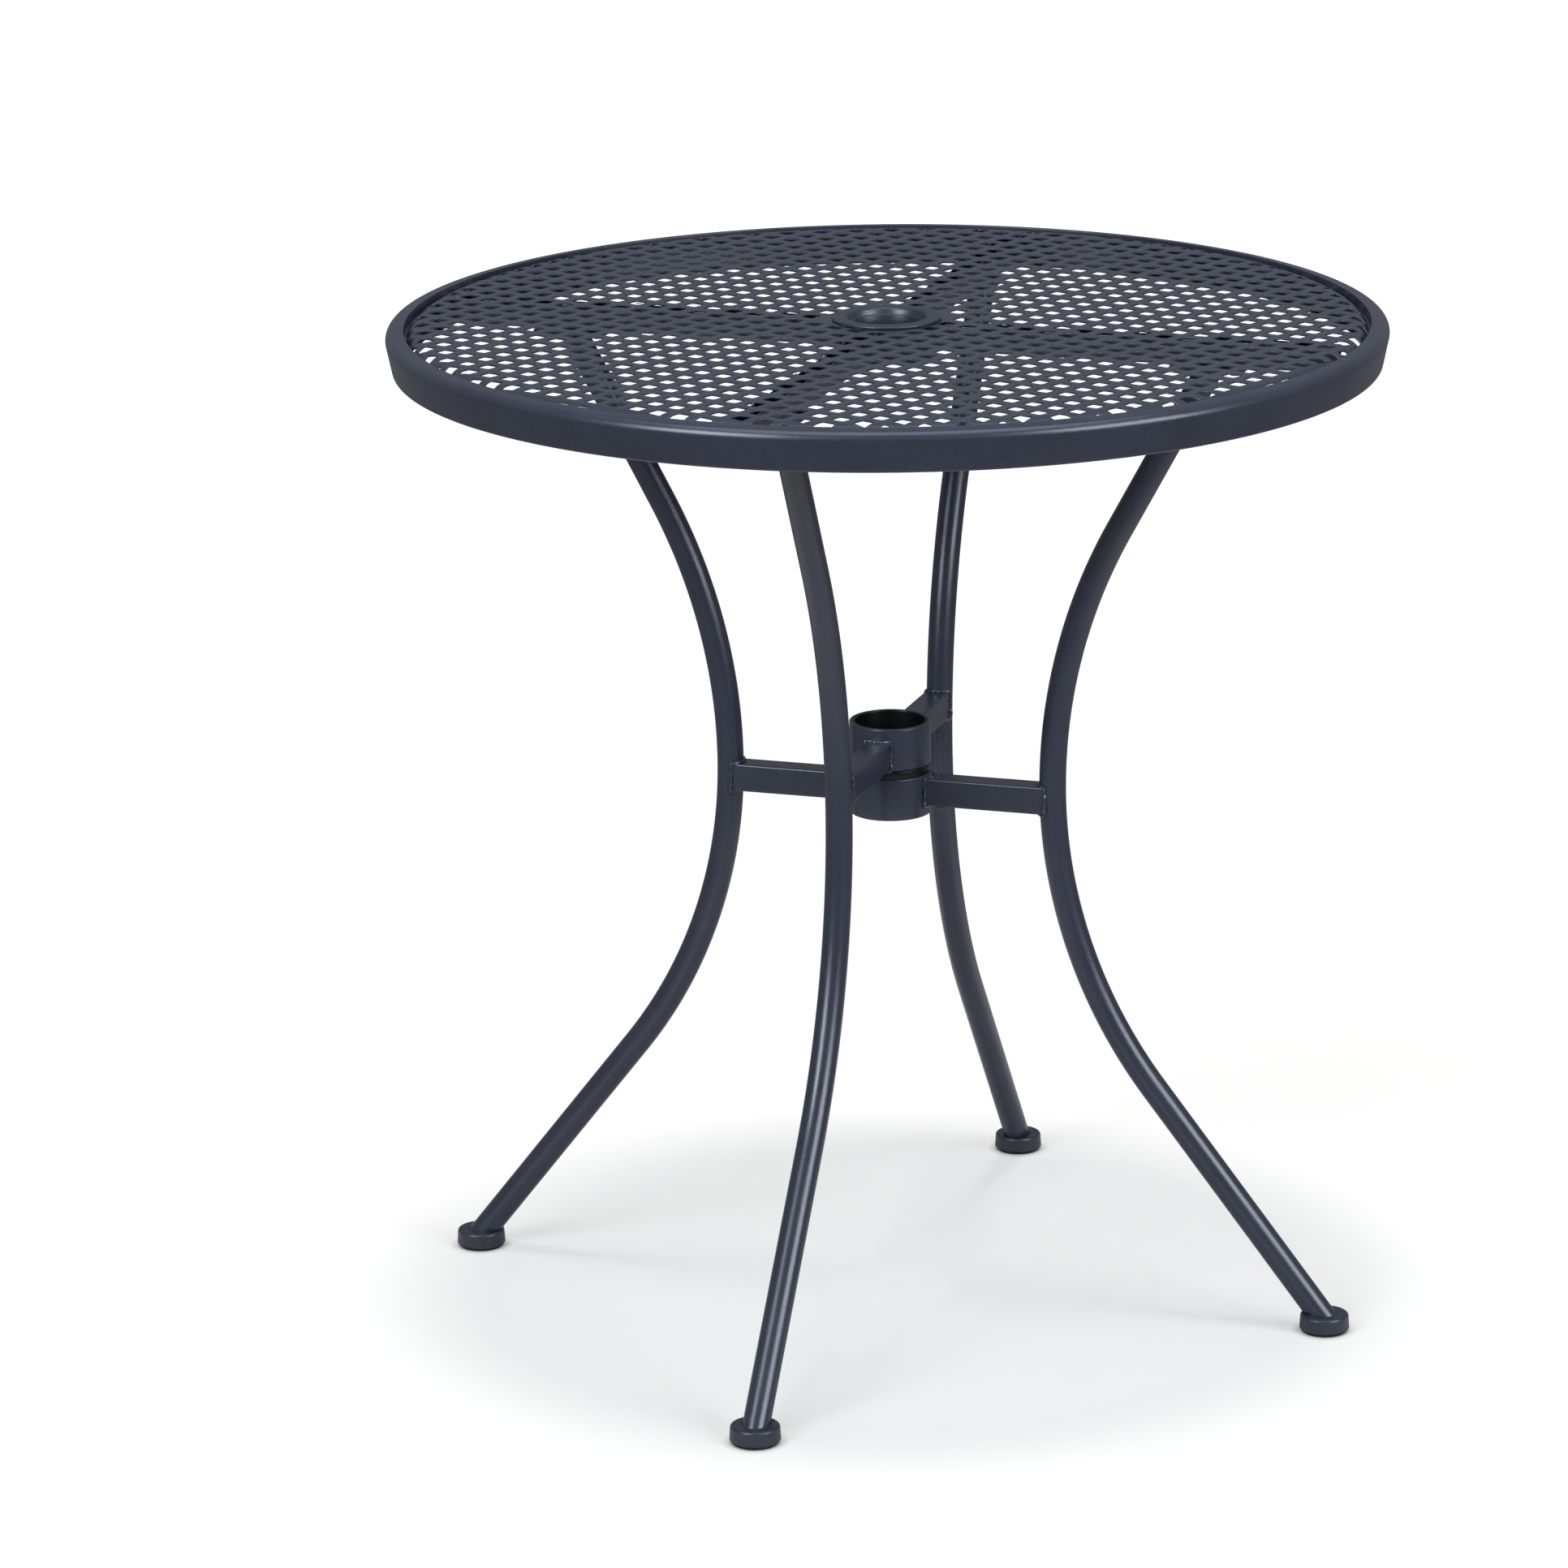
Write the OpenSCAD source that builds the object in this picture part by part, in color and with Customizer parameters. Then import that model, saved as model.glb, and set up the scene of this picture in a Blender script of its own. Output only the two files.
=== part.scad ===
// Round garden table with a pierced steel top and four curved tube legs.
// Sizes in mm. Origin on the floor under the centre, Z up.
// The left and right legs lie along X, the front leg along -Y, the back leg along +Y.

/* [Main sizes] */
// Outside diameter of the table top
top_d = 700; // [640:10:800]
// Height of the table over all, floor to grommet
table_h = 720; // [700:5:760]

/* [Rim] */
// Height of the rim, inner edge to lower edge
rim_h = 29; // [28:1:34]
// Width of the band seen from above
rim_band = 12.7; // [12:0.1:15]
// Outward fall of the band
band_fall = 6; // [3:1:10]
// Outer rounding of the rim
rim_round = 6.5; // [5:0.5:7]
// Rounding of the band's inner edge
rim_inner_round = 0.8; // [0.5:0.1:1.2]
// Inward slope of the skirt, as the radius lost at its foot
rim_taper = 4; // [2:0.5:5]
// Rounding at the foot of the skirt
rim_foot_round = 2; // [1.8:0.1:2.4]
// Width of the hem turned in under the skirt
rim_hem = 7; // [5:0.5:9]
// Sheet thickness of the rim
rim_wall = 1.5; // [1.2:0.1:1.6]
// Depth of the groove between the panel and the band
groove_d = 7.5; // [7:0.5:9]
// Width of the groove at its foot
groove_w = 0.8; // [0.6:0.1:1.4]

/* [Pierced panel] */
// Sheet thickness of the panel
panel_t = 1.2; // [1:0.1:1.5]
// Radius at which the panel's edge turns down
edge_round = 6.5; // [5:0.5:7]
// Pitch of the square holes along a row
hole_pitch = 18.4; // [17:0.1:24]
// Width of a square hole
hole_w = 10.8; // [7:0.1:12.5]
// Turn of the rows against the left and right legs
hole_turn = -21.2; // [-45:0.1:45]
// Offset of the pattern from the centre along X
hole_shift_x = 3.7; // [0:0.1:9]
// Offset of the pattern from the centre along Y
hole_shift_y = -7.1; // [-9:0.1:0]
// Plain margin kept round the pattern
hole_margin = 0.6; // [0.4:0.1:3]
// Plain edge left round the panel
edge_lap = 1; // [0.8:0.1:4]

/* [Rails under the panel] */
// Width of a rail
rail_w = 14; // [12:1:20]
// Height of a rail
rail_h = 18; // [16:1:19]
// Wall of a rail
rail_wall = 1.5; // [1.2:0.1:2]
// Gap between a rail end and the skirt
rail_gap = 0.4; // [0.3:0.1:0.8]
// Wall of the hub ring that the rails meet
hub_wall = 3; // [2:0.5:4]

/* [Parasol grommet] */
// Bore of the grommet at the top
pole_d = 54; // [48:1:56]
// Bore of the narrower lip below
pole_lip_d = 50; // [44:1:50]
// Wall of the grommet neck
grommet_wall = 2; // [1.6:0.2:2.6]
// Outside diameter of the grommet flange
flange_d = 77; // [74:1:84]
// Thickness of the grommet flange
flange_t = 2.2; // [1.8:0.2:3]
// Gap seen under the edge of the flange
flange_lift = 0.4; // [0.2:0.1:1]
// Rounding of the grommet mouth
mouth_round = 3; // [2:0.2:3]
// Depth of the step to the narrower lip
step_depth = 9.5; // [8:0.5:12]
// Height of the ring nut under the hub
nut_h = 6; // [5:0.5:8]
// Width of the ring nut
nut_w = 6; // [4.5:0.5:8]

/* [Legs] */
// Outside diameter of a leg tube
leg_d = 19; // [18:0.5:20]
// Wall of a leg tube
leg_wall = 1.5; // [1.2:0.1:2]
// Distance of the leg axis from the centre at the waist
waist_r = 120; // [110:1:135]
// Height of the waist above the floor
waist_z = 387; // [380:1:395]
// Radius of the bend below the waist
bend_low = 353; // [340:1:370]
// Sweep of the bend below the waist
sweep_low = 38; // [35:0.5:40]
// Radius of the bend above the waist
bend_high = 397; // [380:1:410]
// Sweep of the bend above the waist
sweep_high = 28.6; // [26:0.2:30]

/* [Leg plates and bolts] */
// Thickness of the plate on top of a leg
plate_t = 3; // [2.5:0.5:4]
// Length of the plate
plate_l = 52; // [50:1:60]
// Width of the plate
plate_w = 24; // [22:1:28]
// Distance between the two bolts of a plate
bolt_gap = 36; // [35:1:42]
// Diameter of a bolt shank
bolt_d = 6; // [5:0.5:6]
// Diameter of a bolt head
bolt_head_d = 10.5; // [9:0.5:11]
// Height of a bolt head
bolt_head_h = 3.3; // [2.5:0.1:4]
// Length of a bolt shank
bolt_l = 12; // [10:1:14]

/* [Collar] */
// Height of the middle of the collar above the floor
collar_z = 394; // [388:1:400]
// Outside diameter of a collar ring
ring_d = 58; // [56:1:62]
// Wall of a collar ring
ring_wall = 2; // [1.6:0.2:2.4]
// Height of a collar ring
ring_h = 30; // [28:1:36]
// Gap between the two rings
ring_gap = 7; // [6:0.5:9]
// Wall of the plastic sleeve
sleeve_wall = 1.5; // [1.2:0.1:2]
// Gap between the sleeve and a ring
sleeve_fit = 0.4; // [0.2:0.1:0.8]
// Thickness of the sleeve's middle flange
sleeve_flange_t = 3.5; // [2.5:0.5:5]
// Set-back of the sleeve flange behind the ring face
sleeve_flange_in = 0.3; // [0.1:0.1:1]

/* [Spokes] */
// Width of a spoke
spoke_w = 18; // [14:1:18]
// Height of a spoke
spoke_h = 20; // [18:1:22]
// Wall of a spoke
spoke_wall = 1.5; // [1.2:0.1:2]
// Rise of the front and back spokes above the lower edge of their ring
spoke_up = 0.5; // [0:0.1:4]
// Set-back of the left and right spokes below the upper edge of their ring
spoke_down = 2.4; // [0:0.1:5]

/* [Feet] */
// Diameter of a foot cap at its base
cap_d = 35.5; // [34:0.5:42]
// Height of a foot cap
cap_h = 10.8; // [10:0.2:12]
// Radius lost from base to top of a cap
cap_taper = 0.5; // [0.2:0.1:0.8]
// Rounding of the cap's upper edge
cap_round = 2; // [1.5:0.1:2.2]
// Floor of the cap under the tube
cap_floor = 1.8; // [1.5:0.1:2.5]
// Gap round the tube in the cap
cap_fit = 0.3; // [0.2:0.1:0.4]
// Diameter of the levelling disc
disc_d = 33; // [30:0.5:34]
// Thickness of the levelling disc
disc_t = 2.2; // [2:0.1:3]
// Diameter of the levelling stud
stud_d = 6; // [5:0.5:6]
// Wall of the stud's boss in the cap
boss_wall = 1.6; // [1.4:0.1:2]
// Height of the boss above the cap floor
boss_h = 4.4; // [3.6:0.2:5]
// Travel of a levelling disc
level_travel = 5; // [3:0.5:6]

/* [Fits] */
// Gap between pieces that are welded or clamped together
seat_gap = 0.2; // [0.1:0.05:0.3]
// Radial play of a stud in its boss
stud_fit = 0.05; // [0.03:0.01:0.1]
// Radial play of a bolt in its hole
bolt_fit = 0.2; // [0.1:0.05:0.4]

/* [Hidden] */
$fn = 96;
eps = 0.01;
lap = 0.4;
hair = 0.06;
steel = [0.23, 0.25, 0.29];
black = [0.09, 0.09, 0.10];

// Directions of the four legs
az_right = 0; az_back = 90; az_left = 180; az_front = 270;

// Panel: flat disc just under the flange, its edge welded to the turned-down edge in the rim
top_r = top_d / 2;
panel_z1 = table_h - flange_t - flange_lift;
panel_z0 = panel_z1 - panel_t;
rim_in_r = top_r - rim_band;
edge_cx = rim_in_r - groove_w - edge_round;
edge_cz = panel_z1 - edge_round;
panel_r = edge_cx - seat_gap;
groove_z = panel_z1 - groove_d;

// Rim: its inner edge is level with the panel; centres of its three roundings
rim_z0 = panel_z1 - rim_h;
cx_in = rim_in_r + rim_inner_round;
cz_in = panel_z1 - rim_inner_round;
cx_out = top_r - rim_round;
in_to_out = cx_out - cx_in;
cz_out = cz_in + (rim_inner_round - rim_round) / cos(band_fall) - in_to_out * tan(band_fall);
cx_foot = top_r - rim_taper - rim_foot_round;
cz_foot = rim_z0 + rim_foot_round;
foot_dx = cx_foot - cx_out;
foot_dz = cz_foot - cz_out;
foot_len = sqrt(foot_dx * foot_dx + foot_dz * foot_dz);
skirt_a = atan2(foot_dz, foot_dx) + acos((rim_round - rim_foot_round) / foot_len);
band_a = 90 - band_fall;
band_in_z = cz_in + (rim_inner_round - rim_wall) * (1 / cos(band_fall) + tan(band_fall));
hub_hole_r = pole_d / 2 + grommet_wall + seat_gap;
hole_reach = panel_r - edge_lap;
n_rows = ceil(top_r / hole_pitch) + 1;

// Rails and hub hang under the panel; the rail ends are notched round the groove
rail_z1 = panel_z0;
rail_z0 = rail_z1 - rail_h;
notch_r = edge_cx - 1;
notch_z = groove_z - panel_t - seat_gap;
skirt_in_r = cx_foot + (rim_foot_round - rim_wall) * cos(skirt_a);
rail_end_r = sqrt(pow(skirt_in_r - rail_gap, 2) - pow(rail_w / 2, 2));
hub_r = hub_hole_r + hub_wall;
rail_start_r = hub_r + seat_gap;

// Grommet
flange_z0 = panel_z1 + flange_lift;
flange_z1 = flange_z0 + flange_t;
neck_r = pole_d / 2 + grommet_wall;
nut_z1 = rail_z0;
nut_z0 = nut_z1 - nut_h;
shoulder_r = hub_r + 1;

// Legs
leg_r = leg_d / 2;
low_end_r = waist_r + bend_low * (1 - cos(sweep_low));
low_end_z = waist_z - bend_low * sin(sweep_low);
high_end_r = waist_r + bend_high * (1 - cos(sweep_high));
high_end_z = waist_z + bend_high * sin(sweep_high);
plate_z1 = rail_z0;
plate_z0 = plate_z1 - plate_t;
leg_top_z = plate_z0;
leg_top_r = high_end_r + (leg_top_z - high_end_z) * tan(sweep_high);
cap_z0 = disc_t;
cap_z1 = cap_z0 + cap_h;
leg_foot_z = cap_z0 + cap_floor;
cap_mid_z = (leg_foot_z + cap_z1) / 2;
cap_r_pos = low_end_r + (low_end_z - cap_mid_z) * tan(sweep_low);
leg_run_low = (low_end_z - leg_foot_z) / cos(sweep_low) + leg_d;
leg_run_high = (leg_top_z - high_end_z) / cos(sweep_high) + leg_d;

// Collar and spokes
ring_r = ring_d / 2;
ring_in_r = ring_r - ring_wall;
sleeve_r = ring_in_r - sleeve_fit;
sleeve_in_r = sleeve_r - sleeve_wall;
upper_z0 = collar_z + ring_gap / 2;
lower_z1 = collar_z - ring_gap / 2;
spoke_front_z0 = upper_z0 + spoke_up;
spoke_side_z0 = lower_z1 - spoke_down - spoke_h;

// Points of an arc about (cx, cz)
function arc_pts(cx, cz, r, a0, a1, n) =
    [for (i = [0:n]) let (a = a0 + (a1 - a0) * i / n) [cx + r * cos(a), cz + r * sin(a)]];

// Rim: outer line over the turned-down edge, through the groove and over the band to the hem,
// then the line of the inner face back
module rim() {
    outer = concat(
        arc_pts(edge_cx, edge_cz, edge_round, 90, 0, 10),
        [[edge_cx + edge_round, groove_z], [rim_in_r, groove_z]],
        arc_pts(cx_in, cz_in, rim_inner_round, 180, band_a, 5),
        arc_pts(cx_out, cz_out, rim_round, band_a, skirt_a, 12),
        arc_pts(cx_foot, cz_foot, rim_foot_round, skirt_a, -90, 6),
        [[cx_foot - rim_hem, rim_z0]]);
    inner = concat(
        [[cx_foot - rim_hem, rim_z0 + rim_wall]],
        arc_pts(cx_foot, cz_foot, rim_foot_round - rim_wall, -90, skirt_a, 6),
        arc_pts(cx_out, cz_out, rim_round - rim_wall, skirt_a, band_a, 12),
        [[rim_in_r + rim_wall, band_in_z],
         [rim_in_r + rim_wall, groove_z - panel_t],
         [edge_cx + edge_round - panel_t, groove_z - panel_t]],
        arc_pts(edge_cx, edge_cz, edge_round - panel_t, 0, 90, 10));
    color(steel) rotate_extrude() polygon(concat(outer, inner));
}

// Pierced panel: every square hole of the pattern that lies whole inside the edge
module mesh_panel() {
    c = cos(hole_turn);
    s = sin(hole_turn);
    half = hole_w / sqrt(2);
    color(steel) translate([0, 0, panel_z0]) linear_extrude(height = panel_t) difference() {
        circle(r = panel_r);
        circle(r = hub_hole_r);
        for (i = [-n_rows:n_rows], j = [-n_rows:n_rows]) {
            x = hole_shift_x + hole_pitch * (i * c - j * s);
            y = hole_shift_y + hole_pitch * (i * s + j * c);
            d = sqrt(x * x + y * y);
            if (d - half > shoulder_r + hole_margin && d + half < hole_reach)
                translate([x, y]) rotate(hole_turn) square(hole_w, center = true);
        }
    }
}

// Rails run from the hub ring to the skirt
module rail(az) {
    color(steel) rotate([0, 0, az]) difference() {
        translate([rail_start_r, -rail_w / 2, rail_z0])
            cube([rail_end_r - rail_start_r, rail_w, rail_h]);
        translate([rail_start_r - 1, -rail_w / 2 + rail_wall, rail_z0 + rail_wall])
            cube([rail_end_r - rail_start_r + 2, rail_w - 2 * rail_wall, rail_h - 2 * rail_wall]);
        for (k = [-1, 1])
            translate([leg_top_r + k * bolt_gap / 2, 0, rail_z0 - 1])
                cylinder(d = bolt_d + 2 * bolt_fit, h = rail_wall + 2);
        translate([notch_r, -rail_w, notch_z]) cube([2 * edge_round + rim_band, 2 * rail_w, rail_h]);
    }
}
module rail_left() { rail(az_left); }
module rail_right() { rail(az_right); }
module rail_front() { rail(az_front); }
module rail_back() { rail(az_back); }

module hub_ring() {
    color(steel) translate([0, 0, rail_z0]) difference() {
        cylinder(r = hub_r, h = rail_h);
        translate([0, 0, -1]) cylinder(r = hub_hole_r, h = rail_h + 2);
    }
}

// Grommet: rounded mouth, step to a narrower lip, flange a little clear of the panel
module grommet() {
    bore_r = pole_d / 2;
    lip_r = pole_lip_d / 2;
    edge = flange_t / 2 - 0.1;
    color(black) rotate_extrude() polygon(concat(
        [[lip_r, nut_z0], [neck_r, nut_z0], [neck_r, panel_z1], [shoulder_r, panel_z1],
         [shoulder_r, flange_z0]],
        arc_pts(flange_d / 2 - edge, flange_z0 + edge, edge, -90, 0, 5),
        arc_pts(flange_d / 2 - edge, flange_z1 - edge, edge, 0, 90, 5),
        arc_pts(bore_r + mouth_round, flange_z1 - mouth_round, mouth_round, 90, 180, 6),
        [[bore_r - 0.4, flange_z1 - step_depth], [lip_r + 0.6, flange_z1 - step_depth],
         [lip_r, flange_z1 - step_depth - 0.6]]));
}

module grommet_nut() {
    color(black) difference() {
        translate([0, 0, nut_z0]) cylinder(r = neck_r + nut_w, h = nut_h);
        translate([0, 0, nut_z0 - 1]) cylinder(r = neck_r + seat_gap, h = nut_h + 2);
        for (k = [0:11])
            rotate([0, 0, k * 30 + 15]) translate([neck_r + nut_w + 1.2, 0, nut_z0 - 1])
                cylinder(r = 2.4, h = nut_h + 2);
    }
}

// One bar of radius r along the line of a leg, longer than the leg at both ends.
// The straight runs start a little inside the bends, a hair wider than them.
module leg_line(r) {
    translate([low_end_r, 0, low_end_z]) rotate([0, 180 - sweep_low, 0])
        translate([0, 0, -lap]) cylinder(r = r + hair, h = leg_run_low + lap);
    translate([waist_r + bend_low, 0, waist_z]) rotate([90, 0, 0])
        rotate_extrude(angle = sweep_low, start = 180) translate([bend_low, 0]) circle(r = r);
    translate([waist_r + bend_high, 0, waist_z]) rotate([90, 0, 0])
        rotate_extrude(angle = sweep_high, start = 180 - sweep_high)
            translate([bend_high, 0]) circle(r = r);
    translate([high_end_r, 0, high_end_z]) rotate([0, sweep_high, 0])
        translate([0, 0, -lap]) cylinder(r = r + hair, h = leg_run_high + lap);
}

module leg(az) {
    color(steel) rotate([0, 0, az]) difference() {
        leg_line(leg_r);
        leg_line(leg_r - leg_wall);
        translate([0, -leg_d, leg_top_z]) cube([2 * leg_top_r, 2 * leg_d, 200]);
        translate([0, -leg_d, leg_foot_z - 200]) cube([2 * cap_r_pos, 2 * leg_d, 200]);
    }
}
module leg_left() { leg(az_left); }
module leg_right() { leg(az_right); }
module leg_front() { leg(az_front); }
module leg_back() { leg(az_back); }

// Plate welded on the leg and bolted up into the rail
module plate(az) {
    color(steel) rotate([0, 0, az]) difference() {
        translate([leg_top_r - plate_l / 2, -plate_w / 2, plate_z0])
            cube([plate_l, plate_w, plate_t]);
        for (k = [-1, 1])
            translate([leg_top_r + k * bolt_gap / 2, 0, plate_z0 - 1])
                cylinder(d = bolt_d + 2 * bolt_fit, h = plate_t + 2);
    }
}
module plate_left() { plate(az_left); }
module plate_right() { plate(az_right); }
module plate_front() { plate(az_front); }
module plate_back() { plate(az_back); }

module leg_bolts() {
    color(black) for (az = [az_left, az_right, az_front, az_back], k = [-1, 1])
        rotate([0, 0, az]) translate([leg_top_r + k * bolt_gap / 2, 0, plate_z0]) {
            cylinder(d = bolt_d, h = bolt_l);
            translate([0, 0, -bolt_head_h]) cylinder(d1 = bolt_head_d * 0.7, d2 = bolt_head_d, h = bolt_head_h);
        }
}

// Two steel rings on one plastic sleeve, which keeps them apart with its flange
module collar_ring(z0) {
    color(steel) translate([0, 0, z0]) difference() {
        cylinder(r = ring_r, h = ring_h);
        translate([0, 0, -1]) cylinder(r = ring_in_r, h = ring_h + 2);
    }
}
module collar_upper() { collar_ring(upper_z0); }
module collar_lower() { collar_ring(lower_z1 - ring_h); }

module collar_sleeve() {
    fl = sleeve_flange_t / 2;
    sh_r = (ring_r + ring_in_r) / 2;
    fl_r = ring_r - sleeve_flange_in;
    color(black) rotate_extrude() polygon([
        [sleeve_in_r, lower_z1 - ring_h], [sleeve_r, lower_z1 - ring_h],
        [sleeve_r, lower_z1], [sh_r, lower_z1], [sh_r, collar_z - fl],
        [fl_r, collar_z - fl], [fl_r, collar_z + fl], [sh_r, collar_z + fl],
        [sh_r, upper_z0], [sleeve_r, upper_z0], [sleeve_r, upper_z0 + ring_h],
        [sleeve_in_r, upper_z0 + ring_h]]);
}

// Square tube coped round the ring and round the leg
module spoke(az, z0) {
    color(steel) rotate([0, 0, az]) difference() {
        translate([0, -spoke_w / 2, z0]) cube([waist_r, spoke_w, spoke_h]);
        translate([-1, -spoke_w / 2 + spoke_wall, z0 + spoke_wall])
            cube([waist_r + 2, spoke_w - 2 * spoke_wall, spoke_h - 2 * spoke_wall]);
        translate([0, 0, z0 - 1]) cylinder(r = ring_r + seat_gap, h = spoke_h + 2);
        leg_line(leg_r + seat_gap);
        translate([waist_r, -spoke_w, z0 - 1]) cube([leg_d, 2 * spoke_w, spoke_h + 2]);
    }
}
module spoke_left() { spoke(az_left, spoke_side_z0); }
module spoke_right() { spoke(az_right, spoke_side_z0); }
module spoke_front() { spoke(az_front, spoke_front_z0); }
module spoke_back() { spoke(az_back, spoke_front_z0); }

// Foot cap with a slanted socket for the tube and a boss for the stud
module cap(az) {
    r0 = cap_d / 2;
    r1 = r0 - cap_taper;
    color(black) rotate([0, 0, az]) difference() {
        union() {
            difference() {
                translate([cap_r_pos, 0, 0]) rotate_extrude() polygon(concat(
                    [[0, cap_z0], [r0 - 0.6, cap_z0], [r0, cap_z0 + 0.6]],
                    arc_pts(r1 - cap_round, cap_z1 - cap_round, cap_round, 0, 90, 6),
                    [[0, cap_z1]]));
                difference() {
                    leg_line(leg_r + cap_fit);
                    translate([0, -cap_d, leg_foot_z - 200]) cube([2 * cap_r_pos, 2 * cap_d, 200]);
                }
            }
            translate([cap_r_pos, 0, leg_foot_z - eps])
                cylinder(d = stud_d + 2 * boss_wall, h = boss_h + eps);
        }
        translate([cap_r_pos, 0, cap_z0 - 1])
            cylinder(r = stud_d / 2 + stud_fit, h = cap_h + 20);
    }
}
module cap_left() { cap(az_left); }
module cap_right() { cap(az_right); }
module cap_front() { cap(az_front); }
module cap_back() { cap(az_back); }

// Levelling foot: disc on the floor with a stud up into the boss
module glide(az) {
    stud_top = disc_t + cap_floor + level_travel;
    color(black) rotate([0, 0, az]) translate([cap_r_pos, 0, 0]) {
        rotate_extrude() polygon([[0, 0], [disc_d / 2 - 0.8, 0], [disc_d / 2, 0.8],
            [disc_d / 2, disc_t], [stud_d / 2, disc_t], [stud_d / 2, stud_top - 0.6],
            [stud_d / 2 - 0.6, stud_top], [0, stud_top]]);
    }
}
module glide_left() { glide(az_left); }
module glide_right() { glide(az_right); }
module glide_front() { glide(az_front); }
module glide_back() { glide(az_back); }

mesh_panel();
rim();
hub_ring();
rail_left();
rail_right();
rail_front();
rail_back();
grommet();
grommet_nut();
leg_left();
leg_right();
leg_front();
leg_back();
plate_left();
plate_right();
plate_front();
plate_back();
leg_bolts();
collar_upper();
collar_lower();
collar_sleeve();
spoke_left();
spoke_right();
spoke_front();
spoke_back();
cap_left();
cap_right();
cap_front();
cap_back();
glide_left();
glide_right();
glide_front();
glide_back();
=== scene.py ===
from math import acos, atan2, ceil, cos, pi, radians, sin, sqrt, tan

import bmesh
import bpy
from mathutils import Matrix, Vector, noise

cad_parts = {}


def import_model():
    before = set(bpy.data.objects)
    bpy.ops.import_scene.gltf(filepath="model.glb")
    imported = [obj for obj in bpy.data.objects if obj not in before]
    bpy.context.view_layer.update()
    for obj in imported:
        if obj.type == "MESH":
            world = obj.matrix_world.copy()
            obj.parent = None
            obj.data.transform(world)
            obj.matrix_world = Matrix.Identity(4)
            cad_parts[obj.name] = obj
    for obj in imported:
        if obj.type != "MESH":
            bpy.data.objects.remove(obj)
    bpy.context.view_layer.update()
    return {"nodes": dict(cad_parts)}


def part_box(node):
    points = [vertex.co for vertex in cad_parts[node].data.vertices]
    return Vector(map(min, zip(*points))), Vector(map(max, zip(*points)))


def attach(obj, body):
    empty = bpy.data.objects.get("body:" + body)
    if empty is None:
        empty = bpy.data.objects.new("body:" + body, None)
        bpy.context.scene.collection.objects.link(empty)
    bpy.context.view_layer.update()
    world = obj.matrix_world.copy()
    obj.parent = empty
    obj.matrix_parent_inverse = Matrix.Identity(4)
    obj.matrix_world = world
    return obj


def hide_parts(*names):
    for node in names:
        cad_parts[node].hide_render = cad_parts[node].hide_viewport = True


bl_info = {
    "name": "Garden Table with a Pierced Top",
    "version": (1, 0, 0),
    "blender": (4, 5, 0),
    "location": "View3D > Sidebar > Garden Table",
    "description": "Dresses the CAD frame of a round garden table and sets up its studio",
    "category": "Add Mesh",
}

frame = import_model()


# Sizes, in millimetres unless a comment says otherwise

def node_box(name):
    """Lowest and highest corners of a CAD node in millimetres."""
    low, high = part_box(name)
    return Vector(low) * 1000, Vector(high) * 1000


MM = 0.001                       # a millimetre in metres
SAME_PLACE, NO_LENGTH = 2e-6, 1e-6  # when points of a piece are joined, in metres
RIM_LOW, RIM_HIGH = node_box("rim")
SHEET_LOW, SHEET_HIGH = node_box("mesh_panel")
RAIL_LOW, RAIL_HIGH = node_box("rail_right")
RING_LOW, RING_HIGH = node_box("collar_upper")
RING2_LOW, RING2_HIGH = node_box("collar_lower")
SLEEVE_LOW, SLEEVE_HIGH = node_box("collar_sleeve")
GROMMET_LOW, GROMMET_HIGH = node_box("grommet")
LEG_LOW, LEG_HIGH = node_box("leg_right")
SPOKE_LOW, SPOKE_HIGH = node_box("spoke_right")
SPOKE_F_LOW, SPOKE_F_HIGH = node_box("spoke_front")
SIDES = {"right": 0.0, "back": pi / 2, "left": pi, "front": -pi / 2}

WALL = 1.5               # wall of the rim and the rails
GROOVE_DEPTH = 7.2       # depth of the groove between the sheet and the band
GROOVE_FLOOR = 0.3       # from the sheet's edge down to the floor of the groove
LEDGE = 4.5              # width of that floor, inward from the band
HEM = 13.0               # reach of the hem, inward from the rim's outside
PLAIN_MIDDLE = 5.5       # the plain middle of the sheet ends this far inside the flange
SHEET_BORE = 29.4        # radius of the sheet's hole for the grommet
BEND_MARGIN = 4          # the sheet has finer faces from this far inside its bend
CELL_REACH = 0.72        # half a cell's diagonal, in pitches
HOLE_REACH = 1.42        # half a hole's diagonal, in half widths
GRID = 3                 # decimals to which points of the sheet are matched
NEAR = 0.01              # points this close count as one

RAIL_NOTCH = 26.2        # from the rim's outside to where the rails step down
RAIL_STEP = 1.6          # from the sheet's edge down to the top of that step
RAIL_INSIDE = 1.2        # faces deeper than this below the rail's outside lie inside it and get the painted shade
RAIL_WELDS = (47, 92, 139, 186, 232, 279, 318)  # distances of the spot welds from the axis

WAIST_R, WAIST_Z = 120.0, 387.0            # waist of the leg line: distance and height
LOW_BEND, LOW_SWEEP = 353.0, radians(38)   # bend below the waist: radius and angle
HIGH_BEND, HIGH_SWEEP = 397.0, radians(28.6)
LEG_R = 9.5
LEG_RINGS, LEG_SIDES = 150, 48             # steps along and round a leg tube

WELD_GAP = 0.15          # gap that a weld fills between a spoke and its neighbours
SPOKE_GRID = 1.2         # step between points round a spoke
SPOKE_STATIONS = (44, 95)  # distances of the middle rings of a spoke from the axis
SLEEVE_BORE, SLEEVE_NECK, SLEEVE_BODY = 25.1, 26.6, 28
FLANGE_HALF = 1.75       # half the thickness of the sleeve's flange


# Settings

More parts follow.
